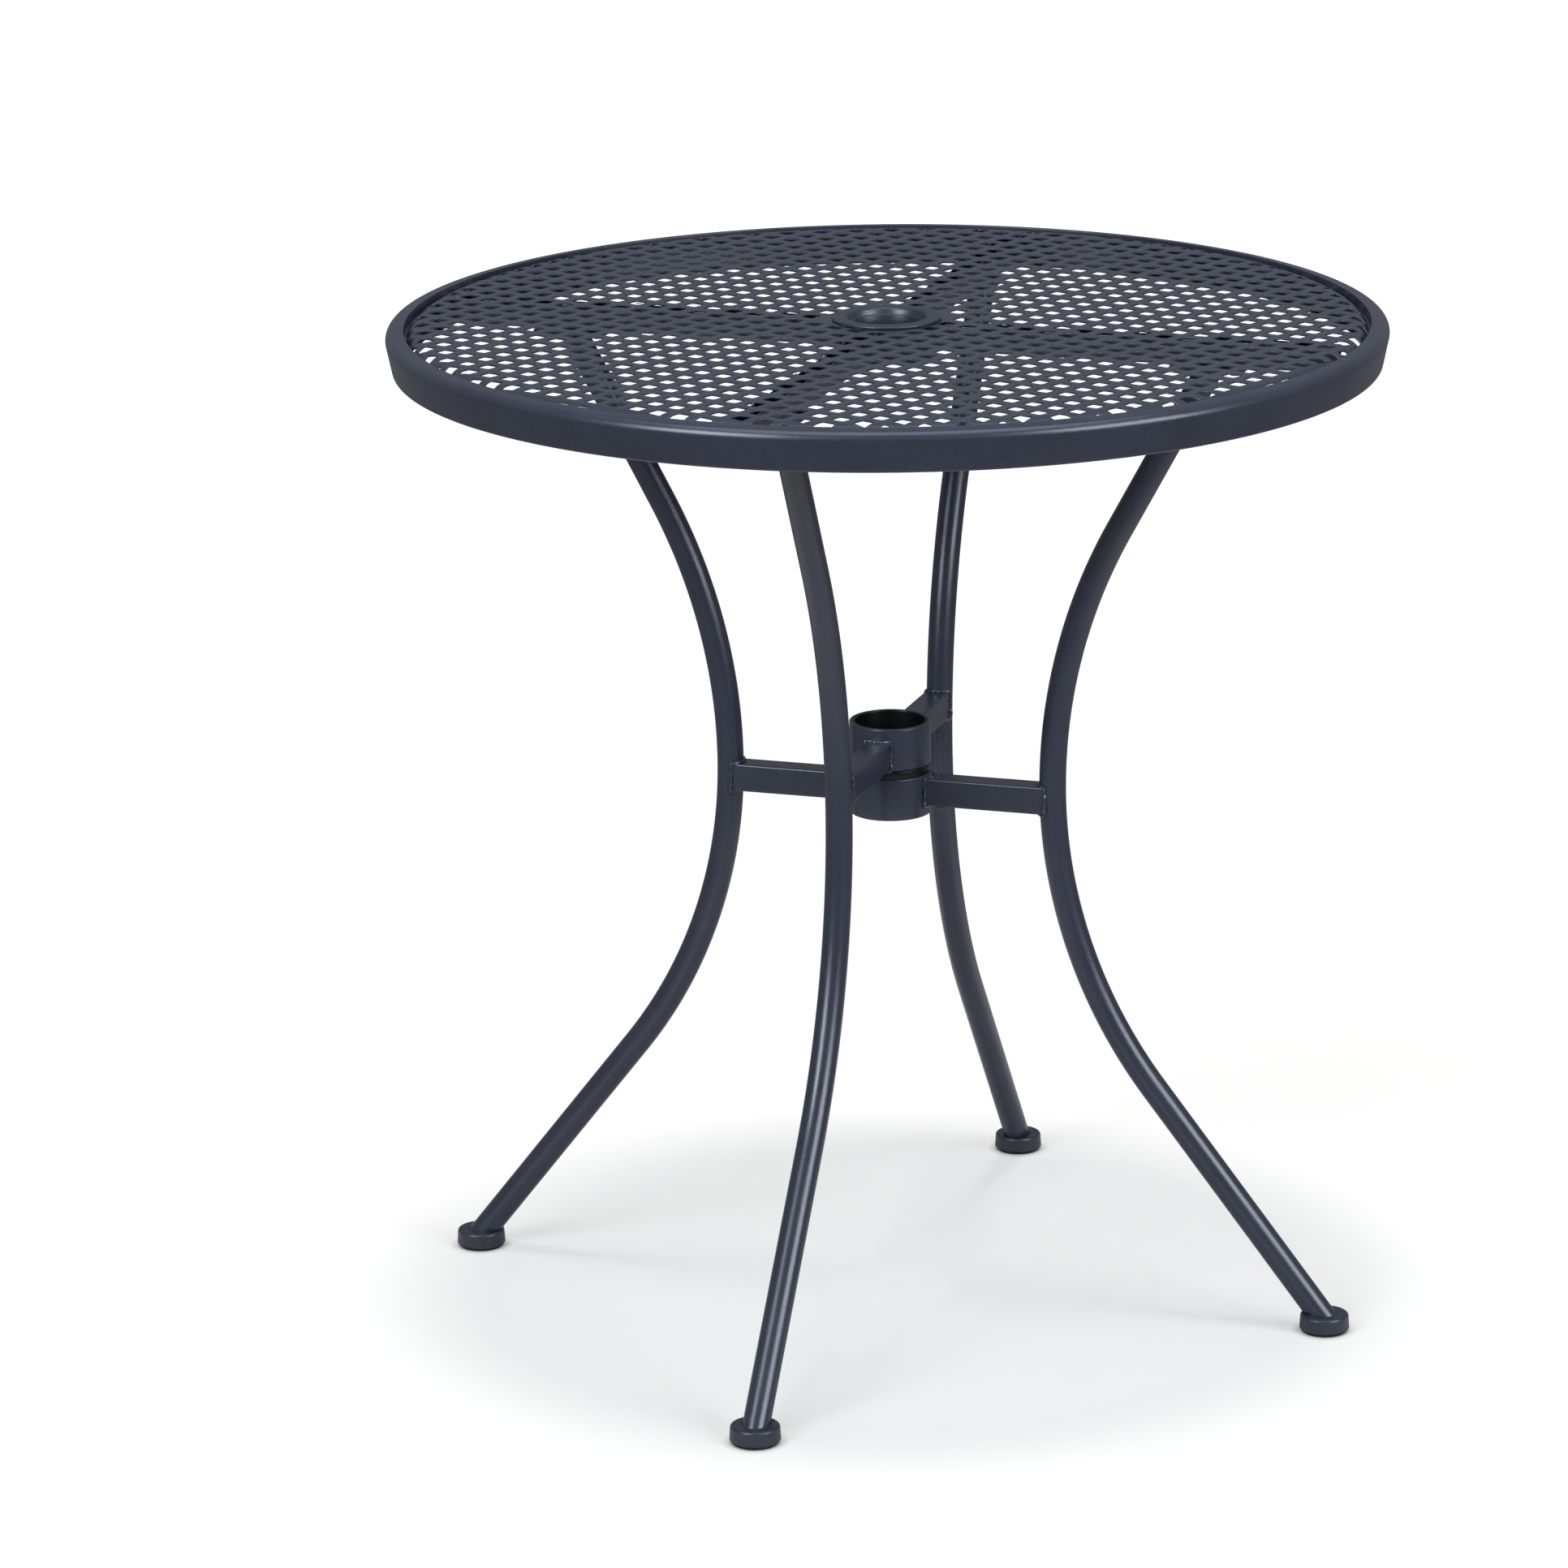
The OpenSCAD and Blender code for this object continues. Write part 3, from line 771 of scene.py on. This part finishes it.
class TABLE_OT_legs(bpy.types.Operator):
    """Bent leg tubes with their plates and bolts"""
    bl_idname = "table.legs"
    bl_label = "Leg tubes"

    def execute(self, context):
        coat = finish("anthracite_coat")
        leg = skin(leg_rings(LEG_R, LEG_LOW.z, LEG_HIGH.z, LEG_RINGS, LEG_SIDES))
        for side, angle in SIDES.items():
            add_piece("leg_tube_" + side, *turned(leg, angle), coat, "steel_coat",
                      stands_for=("leg_" + side,), sharp=50)
            dress("plate_" + side, coat)
        dress("leg_bolts", finish("bolt_black"))
        z = LEG_HIGH.z - 0.2
        seam = leg_rings(LEG_R + 0.3, z - 1, z, 1, 40)[-1]
        parts = [turned(bead(seam, radius=1.5, seed=angle + 4, closed=True), angle)
                 for angle in SIDES.values()]
        add_piece("plate_welds", *merge(*parts), coat, "steel_coat", sharp=60)
        return {"FINISHED"}


class TABLE_OT_spokes(bpy.types.Operator):
    """Square spokes coped to the collar and the legs, with their welds"""
    bl_idname = "table.spokes"
    bl_label = "Spokes"

    def execute(self, context):
        ring_r = RING_HIGH.x
        half = (SPOKE_HIGH.y - SPOKE_LOW.y) / 2
        parts = []
        for side, angle in SIDES.items():
            upper = side in ("front", "back")  # these hang on the upper ring
            z0 = (SPOKE_F_LOW if upper else SPOKE_LOW).z
            z1 = (SPOKE_F_HIGH if upper else SPOKE_HIGH).z
            section = rounded([(-half, z0, 1.3), (half, z0, 1.3),
                               (half, z1, 1.3), (-half, z1, 1.3)], 5)
            dense = []
            for k, (y, z) in enumerate(section):
                y2, z2 = section[(k + 1) % len(section)]
                n = max(1, round(sqrt((y2 - y) ** 2 + (z2 - z) ** 2) / SPOKE_GRID))
                dense += [(y + (y2 - y) * t / n, z + (z2 - z) * t / n) for t in range(n)]
            inner = [(sqrt(ring_r ** 2 - y * y) + WELD_GAP, y, z) for y, z in dense]
            outer = [(leg_point(z)[0] - sqrt(max(LEG_R ** 2 - y * y, 0)) - WELD_GAP, y, z)
                     for y, z in dense]
            middle = [[(x, y, z) for y, z in dense] for x in SPOKE_STATIONS]
            bar = skin([inner] + middle + [outer], caps=False)
            add_piece("spoke_bar_" + side, *turned(bar, angle), finish("anthracite_coat"),
                      "steel_coat", stands_for=("spoke_" + side,), sharp=40)
            for k, (line, step) in enumerate(((inner, 0.5), (outer, -0.4))):
                path = [(x + step, y * 1.04, z + (0.5 if z > (z0 + z1) / 2 else -0.5))
                        for x, y, z in line]
                weld = bead(path, radius=1.45, seed=angle * 2 + k * 7 + 1, closed=True)
                parts.append(turned(weld, angle))
            # lumps on the spoke's top next to the ring, and runs below it
            for k in range(9):
                x = ring_r + 1.5 + 5.5 * (0.5 + ripple((k * 9, angle * 40, 0), 4, 2))
                y = (k / 4 - 1) * half * 0.9
                size = 0.75 + 0.5 * ripple((k * 5, angle * 30, 7), 3, 4)
                sizes = size * 1.5, size * 1.2, size * 0.8
                parts.append(turned(lump((x, y, z1 + 0.1), sizes, k + angle), angle))
            for k, x in enumerate((ring_r + 9, ring_r + 13.5)):
                run = lump((x, -half * 0.75 + k, z0 - 0.9), (2.3, 1.6, 1.9), k + 3 + angle)
                parts.append(turned(run, angle))
        add_piece("spoke_welds", *merge(*parts), finish("weld_coat"), "steel_coat", sharp=60)
        return {"FINISHED"}


class TABLE_OT_collar(bpy.types.Operator):
    """Two steel rings on the black sleeve"""
    bl_idname = "table.collar"
    bl_label = "Collar"

    def execute(self, context):
        r = RING_HIGH.x
        for name, low, high in (("collar_upper", RING_LOW, RING_HIGH),
                                ("collar_lower", RING2_LOW, RING2_HIGH)):
            outline = rounded([(r - 2, low.z, 0.4), (r, low.z, 0.5),
                               (r, high.z, 0.9), (r - 2, high.z, 0.4)], 5)
            add_piece(name + "_ring", *lathe(outline, 128), finish("anthracite_coat"),
                      "steel_coat", stands_for=(name,), sharp=50)
        s0, s1 = SLEEVE_LOW.z, SLEEVE_HIGH.z
        mid = (s0 + s1) / 2
        edge = r - 0.6
        outline = rounded([
            (SLEEVE_BORE, s0, 0.4), (SLEEVE_NECK, s0, 0.3), (SLEEVE_NECK, RING2_HIGH.z, 0.2),
            (SLEEVE_BODY, RING2_HIGH.z, 0.2), (SLEEVE_BODY, mid - FLANGE_HALF, 0.2),
            (edge, mid - FLANGE_HALF, 0.8), (edge, mid + FLANGE_HALF, 0.8),
            (SLEEVE_BODY, mid + FLANGE_HALF, 0.2), (SLEEVE_BODY, RING_LOW.z, 0.2),
            (SLEEVE_NECK, RING_LOW.z, 0.2), (SLEEVE_NECK, s1, 0.5), (SLEEVE_BORE, s1, 0.7)], 4)
        add_piece("sleeve_moulding", *lathe(outline, 128), finish("sleeve_black"),
                  "black_plastic", stands_for=("collar_sleeve",), sharp=50)
        return {"FINISHED"}


class TABLE_OT_feet(bpy.types.Operator):
    """Foot caps and levelling discs"""
    bl_idname = "table.feet"
    bl_label = "Feet"

    def execute(self, context):
        for side in SIDES:
            dress("cap_" + side, finish("grey_plastic"))
            dress("glide_" + side, finish("sleeve_black"))
        return {"FINISHED"}


# Studio, in metres

FLOOR_HALF = 14.0                      # half the width of the floor
WHITE_FLOOR = (0.375, 0.363, 0.352)    # colour of the floor that the camera sees
CONTACT = 0.007                        # reach of the painted contact shadow where the feet stand
CEILING_SPREAD = 10                    # degrees, softness of the shadow on the floor
LAMP_TINT = (0.86, 0.94, 1.0)
ROOM_TINT = (0.88, 0.94, 1.0)


def background_mix(tree, lit, white, mirror):
    """Mixes what lights the table with the white background that shows.

    The camera sees the white, also through glass, and reflections see it dimmed.
    """
    path = add_node(tree, "LightPath")
    direct = add_node(tree, "Math", "MAXIMUM")
    link(tree, path.outputs["Is Camera Ray"], direct.inputs[0])
    link(tree, path.outputs["Is Transmission Ray"], direct.inputs[1])
    seen = add_node(tree, "Math", "MULTIPLY_ADD")
    seen.use_clamp = True
    seen.inputs[1].default_value = mirror
    link(tree, path.outputs["Is Glossy Ray"], seen.inputs[0])
    link(tree, direct.outputs[0], seen.inputs[2])
    mix = add_node(tree, "MixShader")
    link(tree, seen.outputs[0], mix.inputs[0])
    link(tree, lit.outputs[0], mix.inputs[1])
    link(tree, white.outputs[0], mix.inputs[2])
    return mix


def floor_material(colour, mirror):
    """Floor that lights the table from nearby, and that the camera sees as white."""
    material = bpy.data.materials.new("pale_floor")
    tree = nodes_of(material)
    out = add_node(tree, "OutputMaterial")
    place = add_node(tree, "TexCoord")
    away = add_node(tree, "VectorMath", "LENGTH")
    link(tree, place.outputs["Object"], away.inputs[0])

    # pale under the table, dimmer farther out
    near = add_node(tree, "MapRange", From_Min=0.5, From_Max=1.3, To_Min=1.0, To_Max=0.25)
    near.interpolation_type = "SMOOTHSTEP"
    shade = add_node(tree, "VectorMath", "SCALE")
    shade.inputs[0].default_value = colour
    plain = add_node(tree, "BsdfDiffuse")
    link(tree, away.outputs["Value"], near.inputs["Value"])
    link(tree, near.outputs["Result"], shade.inputs["Scale"])
    link(tree, shade.outputs["Vector"], plain.inputs["Color"])

    # keeps the table's shadow, and glows a little more farther out, so that it stays white
    bright = add_node(tree, "BsdfDiffuse", Color=(*WHITE_FLOOR, 1))
    rise = add_node(tree, "MapRange", From_Min=0.5, From_Max=3.0, To_Min=0.52, To_Max=0.80)
    # ambient occlusion dims the floor's glow near the feet: a painted contact shadow
    close = add_node(tree, "AmbientOcclusion", Distance=CONTACT)
    dim = add_node(tree, "Math", "MULTIPLY")
    glow = add_node(tree, "Emission")
    both = add_node(tree, "AddShader")
    link(tree, away.outputs["Value"], rise.inputs["Value"])
    link(tree, rise.outputs["Result"], dim.inputs[0])
    link(tree, close.outputs["AO"], dim.inputs[1])
    link(tree, dim.outputs[0], glow.inputs["Strength"])
    link(tree, bright.outputs[0], both.inputs[0])
    link(tree, glow.outputs[0], both.inputs[1])

    mix = background_mix(tree, plain, both, mirror)
    link(tree, mix.outputs[0], out.inputs["Surface"])
    return material


def add_room(scene, strength, mirror):
    """Even cool light all round, in front of a white background."""
    world = bpy.data.worlds.new("room")
    scene.world = world
    tree = nodes_of(world)
    out = add_node(tree, "OutputWorld")
    room = add_node(tree, "Background", Color=(*ROOM_TINT, 1), Strength=strength)
    white = add_node(tree, "Background", Color=(1, 1, 1, 1), Strength=1.0)
    mix = background_mix(tree, room, white, mirror)
    link(tree, mix.outputs[0], out.inputs["Surface"])


def add_lamp(scene, name, power, azimuth, elevation, distance, aim_z, width, height):
    """Area lamp that faces a point on the table's axis; its angles are in degrees."""
    data = bpy.data.lights.new(name, "AREA")
    data.shape = "RECTANGLE"
    data.size, data.size_y = width, height
    data.energy = power
    data.color = LAMP_TINT
    lamp = bpy.data.objects.new(name, data)
    aim = Vector((0, 0, aim_z))
    a, e = radians(azimuth), radians(elevation)
    lamp.location = aim + Vector((sin(a) * cos(e), -cos(a) * cos(e), sin(e))) * distance
    lamp.rotation_euler = (aim - lamp.location).to_track_quat("-Z", "Y").to_euler()
    scene.collection.objects.link(lamp)
    return lamp


def add_camera(scene, s):
    """Camera at the photograph's distance, height and angle."""
    data = bpy.data.cameras.new("camera")
    data.lens = s.lens
    data.sensor_width = 36.0
    data.sensor_fit = "HORIZONTAL"
    data.clip_end = 60.0
    camera = bpy.data.objects.new("camera", data)
    spin = Matrix.Rotation(s.azimuth, 3, "Z")
    place = spin @ Vector((0, -s.distance, s.height))
    forward = spin @ Vector((sin(s.pan) * cos(s.tilt), cos(s.pan) * cos(s.tilt), -sin(s.tilt)))
    right = spin @ Vector((cos(s.pan), -sin(s.pan), 0))
    up = right.cross(forward)
    right, up = cos(s.roll) * right + sin(s.roll) * up, cos(s.roll) * up - sin(s.roll) * right
    camera.matrix_world = Matrix((
        (right.x, up.x, -forward.x, place.x),
        (right.y, up.y, -forward.y, place.y),
        (right.z, up.z, -forward.z, place.z), (0, 0, 0, 1)))
    scene.collection.objects.link(camera)
    scene.camera = camera


class TABLE_OT_stage(bpy.types.Operator):
    """Floor, room light, lamps and camera"""
    bl_idname = "table.stage"
    bl_label = "Studio"

    def execute(self, context):
        scene = context.scene
        s = scene.table_stage
        scene.view_settings.view_transform = "Standard"

        mesh = bpy.data.meshes.new("floor")
        mesh.from_pydata([(x * FLOOR_HALF, y * FLOOR_HALF, 0)
                          for x, y in ((-1, -1), (1, -1), (1, 1), (-1, 1))], [], [(0, 1, 2, 3)])
        floor = bpy.data.objects.new("floor", mesh)
        scene.collection.objects.link(floor)
        mesh.materials.append(floor_material(s.floor, s.mirror))
        add_room(scene, s.sky, s.mirror)

        # the overhead lamp makes highlights only, and the ceiling light none
        overhead = add_lamp(scene, "lamp_high", s.high, azimuth=20, elevation=82, distance=2.3,
                            aim_z=0.7, width=2.6, height=1.7)
        overhead.visible_diffuse = False
        add_lamp(scene, "lamp_right", s.low, azimuth=71, elevation=23, distance=3.6,
                 aim_z=0.6, width=2.1, height=1.8)
        add_lamp(scene, "lamp_left", s.low, azimuth=-24, elevation=27, distance=3.6,
                 aim_z=0.6, width=1.5, height=1.8)
        data = bpy.data.lights.new("ceiling", "SUN")
        data.energy = s.sun
        data.angle = radians(CEILING_SPREAD)
        ceiling = bpy.data.objects.new("ceiling", data)
        ceiling.location = (0, 0, 3)
        ceiling.visible_glossy = False
        scene.collection.objects.link(ceiling)

        add_camera(scene, s)
        return {"FINISHED"}


# Panel and registration

class TABLE_PT_panel(bpy.types.Panel):
    """Settings and steps, in the sidebar of the 3D view"""
    bl_label = "Garden Table"
    bl_idname = "TABLE_PT_panel"
    bl_space_type = "VIEW_3D"
    bl_region_type = "UI"
    bl_category = "Garden Table"

    def draw(self, context):
        layout = self.layout
        for group in ("table_top", "table_finish", "table_stage"):
            settings = getattr(context.scene, group)
            box = layout.box()
            for key in settings.__annotations__:
                box.prop(settings, key)
        for cls in STEPS:
            layout.operator(cls.bl_idname, text=cls.bl_label)


STEPS = (TABLE_OT_sheet, TABLE_OT_rim, TABLE_OT_rails, TABLE_OT_grommet, TABLE_OT_legs,
         TABLE_OT_spokes, TABLE_OT_collar, TABLE_OT_feet, TABLE_OT_stage)
CLASSES = (TopSettings, FinishSettings, StageSettings) + STEPS + (TABLE_PT_panel,)


def register():
    for cls in CLASSES:
        bpy.utils.register_class(cls)
    bpy.types.Scene.table_top = bpy.props.PointerProperty(type=TopSettings)
    bpy.types.Scene.table_finish = bpy.props.PointerProperty(type=FinishSettings)
    bpy.types.Scene.table_stage = bpy.props.PointerProperty(type=StageSettings)


def unregister():
    del bpy.types.Scene.table_stage
    del bpy.types.Scene.table_finish
    del bpy.types.Scene.table_top
    for cls in reversed(CLASSES):
        bpy.utils.unregister_class(cls)


def main():
    register()
    for cls in STEPS:
        group, name = cls.bl_idname.split(".")
        getattr(getattr(bpy.ops, group), name)()


if __name__ == "__main__":
    main()
